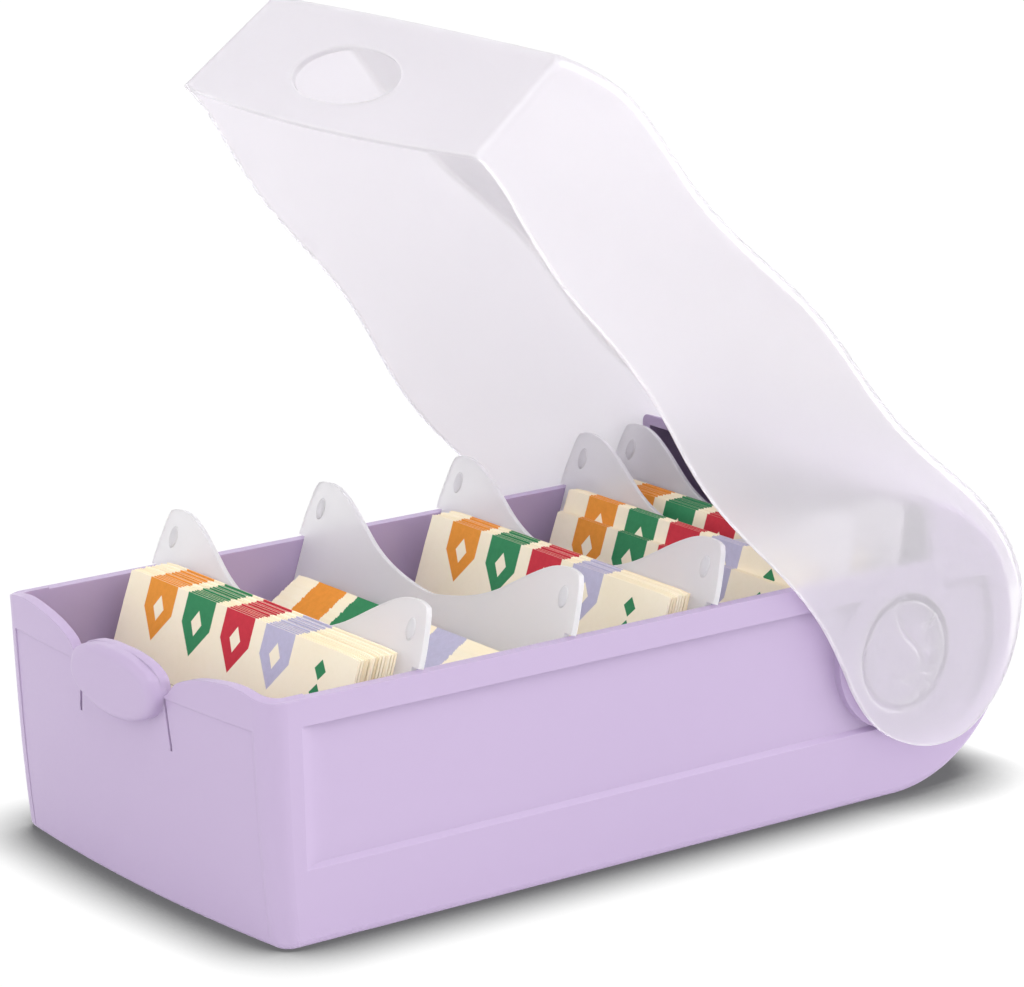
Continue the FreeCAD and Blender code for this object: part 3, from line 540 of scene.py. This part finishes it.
def latch_tongue():
    crown = [(13.27, 41.2), (12.4, 43.3), (10.2, 44.6), (7.6, 45.35), (4.0, 45.85), (0.0, 46.0)]

    def half_width(z):
        flank = 13.3 + (40.0 - z) * 1.2 / 9.0
        if z <= 41.2:
            return flank
        for (x0, z0), (x1, z1) in zip(crown, crown[1:]):
            if z <= z1:
                t = (z - z0) / (z1 - z0)
                return x0 + (x1 - x0) * t
        return 0.0

    zs = [29.6, 30.4, 31.0, 32.0, 33.2, 34.5, 36.0, 37.5, 39.0, 40.2, 41.2, 42.2, 43.0, 43.6, 44.15, 44.6, 45.0, 45.35, 45.6, 45.78, 45.9]
    n = 36
    verts, faces = [], []
    for layer in (0, 1):
        for k, z in enumerate(zs):
            w = half_width(z)
            for i in range(n + 1):
                x = -w + 2 * w * i / n
                y = skin(x, z) + 2.0 * layer
                if layer == 0:
                    y += (0.05, -0.012, -0.012)[k] if k < 3 else 0.0
                elif k < 3:
                    y -= 0.3
                verts.append((x, y - BASE_MID, z))
    m, rows = n + 1, len(zs)
    at = lambda layer, k, i: (layer * rows + k) * m + i
    for k in range(rows - 1):
        for i in range(n):
            faces.append((at(0, k, i), at(0, k, i + 1), at(0, k + 1, i + 1), at(0, k + 1, i)))
            faces.append((at(1, k, i), at(1, k + 1, i), at(1, k + 1, i + 1), at(1, k, i + 1)))
        for i, flip in ((0, False), (n, True)):
            q = (at(0, k, i), at(0, k + 1, i), at(1, k + 1, i), at(1, k, i))
            faces.append(q[::-1] if flip else q)
    for i in range(n):
        faces.append((at(0, 0, i), at(1, 0, i), at(1, 0, i + 1), at(0, 0, i + 1)))
        k = rows - 1
        faces.append((at(0, k, i), at(0, k, i + 1), at(1, k, i + 1), at(1, k, i)))
    panel = make("latch_tongue_spring", verts, faces, TRAY)
    bev = panel.modifiers.new("round", "BEVEL")
    bev.width = 0.00022
    bev.segments = 2
    bev.limit_method = "ANGLE"
    bev.angle_limit = math.radians(35.0)
    baked(panel)

    # oval push pad: a soft lip below, and above it runs up into the tongue's crown
    a, b, zc, proud = 13.6, 6.2, 39.4, 2.9

    def crown_at(x):
        x = abs(x)
        for (x0, z0), (x1, z1) in zip(crown, crown[1:]):
            if x >= x1:
                return z0 + (z1 - z0) * (min(x, x0) - x0) / (x1 - x0)
        return crown[-1][1]

    lip = 1.55
    rings = [(0.0, -0.9), (0.0, 0.2), (0.0, 0.8)]
    rings += [(1 - math.cos(t), proud - lip + lip * math.sin(t)) for t in [math.radians(d) for d in (0, 10, 20, 30, 40, 50, 60, 70, 80, 90)]]
    inner = [(0.85, 0.03), (2.1, 0.07), (3.2, 0.09)]
    count = 160
    verts, faces = [], []
    for u, high in rings + [(1.0, proud + h) for _, h in inner]:
        for i in range(count):
            t = 2 * math.pi * i / count
            more = inner[len(verts) // count - len(rings)][0] if len(verts) // count >= len(rings) else 0.0
            bx, bz = a * math.cos(t), zc + b * math.sin(t)
            fx, fz = (a - lip - more) * math.cos(t), zc + (b - lip - more) * math.sin(t)
            if math.sin(t) > 0:
                w = min(math.sin(t) / 0.45, 1.0)
                w = w * w * (3 - 2 * w)
                cx = bx * 0.97
                top = min(crown_at(cx) - 0.03, zc + 6.85 * math.sqrt(1 - (cx / 15.1) ** 2) - 0.2)
                bx, bz = bx + (cx - bx) * w, bz + (top - bz) * w
            x, z = bx + (fx - bx) * u, bz + (fz - bz) * u
            verts.append((x, skin(x, z) - high - BASE_MID, z))
    for k in range(len(rings) + len(inner) - 1):
        for i in range(count):
            j = (i + 1) % count
            faces.append((k * count + i, k * count + j, (k + 1) * count + j, (k + 1) * count + i))
    verts.append((0.0, skin(0, zc) - proud - 0.10 - BASE_MID, zc))
    last = (len(rings) + len(inner) - 1) * count
    for i in range(count):
        faces.append((last + i, last + (i + 1) % count, len(verts) - 1))
    faces.append(tuple(range(count))[::-1])
    pad = make("pad_tool", verts, faces, TRAY)
    for ob in (panel, pad):
        bm = bmesh.new()
        bm.from_mesh(ob.data)
        bmesh.ops.recalc_face_normals(bm, faces=bm.faces)
        bm.to_mesh(ob.data)
        bm.free()
    join = panel.modifiers.new("pad", "BOOLEAN")
    join.operation = "UNION"
    join.solver = "EXACT"
    join.object = pad
    baked(panel)
    bpy.data.objects.remove(pad)
    me = panel.data
    me.materials.clear()
    me.materials.append(TRAY)
    me.polygons.foreach_set("material_index", [0] * len(me.polygons))
    me.shade_smooth()
    me.set_sharp_from_angle(angle=math.radians(38.0))
    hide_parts("latch_tongue")
    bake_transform(panel)
    return panel


latch_tongue()


# ---------------------------------------------------------------- floor, light
def plane(name, z, mat):
    n = 40
    size = 6.0
    me = bpy.data.meshes.new(name)
    vs = [(-size + 2 * size * i / n, -size + 2 * size * j / n, 0.0) for j in range(n + 1) for i in range(n + 1)]
    fs = [(j * (n + 1) + i, j * (n + 1) + i + 1, (j + 1) * (n + 1) + i + 1, (j + 1) * (n + 1) + i) for j in range(n) for i in range(n)]
    me.from_pydata(vs, [], fs)
    me.materials.append(mat)
    ob = bpy.data.objects.new(name, me)
    bpy.context.scene.collection.objects.link(ob)
    ob.location.z = z
    return ob


def stage_floor():
    """A sheet seen only by the camera that glows white in the open and dark grey close to things, by an
    ambient-occlusion test: a painted contact shadow. It lies over a white board that throws the light back up.
    """
    g = Graph("floor_painted_shadow")
    p = g.coords()
    near = g.new("ShaderNodeAmbientOcclusion", samples=16)
    near.inputs["Distance"].default_value = FLOOR_REACH
    # painted shadow: the sheet's glow falls towards dark grey where the occlusion test finds things close by
    open_sky = g.math("POWER", g.span(near.outputs["AO"], 0.50, 1.0), FLOOR_POWER)
    painted_shadow_glow = g.mix(open_sky, (0.13, 0.13, 0.135), (1.0, 1.0, 1.0))
    painted_shadow_glow = g.mix(g.math("MULTIPLY", g.noise(p, 40.0), 0.012), painted_shadow_glow, (0.8, 0.8, 0.8))
    g.shader(Base_Color=(0.02, 0.02, 0.02), Roughness=1.0, Specular_IOR_Level=0.0, Emission_Color=painted_shadow_glow, Emission_Strength=1.0)
    sheet = plane("floor", -0.0001, g.mat)
    sheet.visible_diffuse = sheet.visible_glossy = sheet.visible_shadow = False

    g = Graph("board_white")
    col = g.mix(g.span(g.noise(g.coords(), 3.0), 0.3, 0.7), (0.92, 0.92, 0.92), (0.94, 0.94, 0.94))
    g.shader(Base_Color=col, Roughness=0.7, Specular_IOR_Level=0.2)
    board = plane("board", -0.0004, g.mat)
    board.visible_camera = board.visible_transmission = False


FLOOR_REACH, FLOOR_POWER = 0.0145, 1.1
stage_floor()
world = bpy.data.worlds.new("studio")
bpy.context.scene.world = world
world.use_nodes = True
bg = world.node_tree.nodes["Background"]
bg.inputs[0].default_value = (1.0, 1.0, 1.0, 1.0)
bg.inputs[1].default_value = 1.0


def area(name, place, target, size, power, colour=(1, 1, 1)):
    data = bpy.data.lights.new(name, "AREA")
    data.shape = "RECTANGLE"
    data.size, data.size_y = size
    data.energy = power
    data.color = colour
    ob = bpy.data.objects.new(name, data)
    bpy.context.scene.collection.objects.link(ob)
    ob.location = place
    ob.rotation_mode = "QUATERNION"
    ob.rotation_quaternion = (Vector(target) - Vector(place)).to_track_quat("-Z", "Y")


area("key", (0.42, 0.96, 0.52), (0.0, 0.0, 0.03), (0.75, 0.75), 6.4)
area("top", (0.50, -0.20, 0.96), (0, 0, 0.02), (0.6, 0.6), 2.8)
area("front", (-0.25, -1.05, 0.50), (0, -0.07, 0.03), (0.7, 0.7), 1.2)

scene = bpy.context.scene
scene.view_settings.view_transform = "Standard"
scene.view_settings.look = "None"
scene.view_settings.exposure = 0.0
scene.cycles.max_bounces = 16
scene.cycles.transmission_bounces = 12
scene.cycles.transparent_max_bounces = 12
